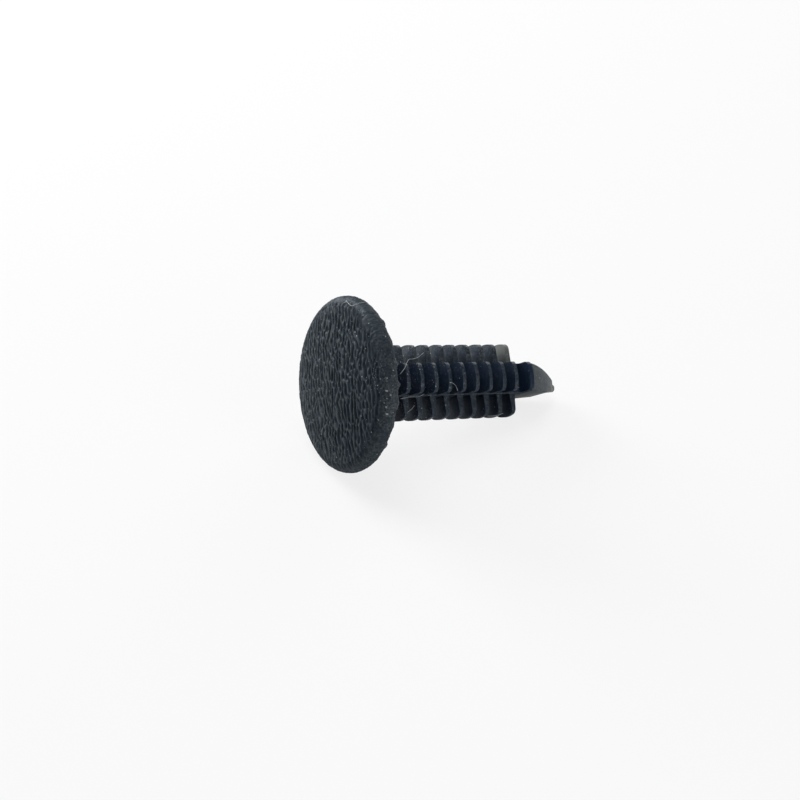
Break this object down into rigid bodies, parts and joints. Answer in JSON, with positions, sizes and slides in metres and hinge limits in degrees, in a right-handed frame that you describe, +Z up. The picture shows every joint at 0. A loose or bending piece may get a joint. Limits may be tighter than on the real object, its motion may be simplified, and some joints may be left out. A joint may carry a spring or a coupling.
{
  "type": "belt guide clip",
  "caption": "One-piece moulded push clip: round domed head with a leather-like grain, square stem with staggered rows of fins and an arrow-shaped tip.",
  "frame": {"origin": "centre of the bounding box at floor level, with the clip lying at rest", "axes": "+Z up, +X along the floor from the head towards the tip; the stem slopes down to the tip"},
  "size_m": [0.0284, 0.018, 0.0175],
  "materials": {
    "nylon": "black nylon: leather-like grain on the head, satin on the stem"
  },
  "bodies": {
    "root": {"push_clip": "nylon"}
  },
  "joints": []
}
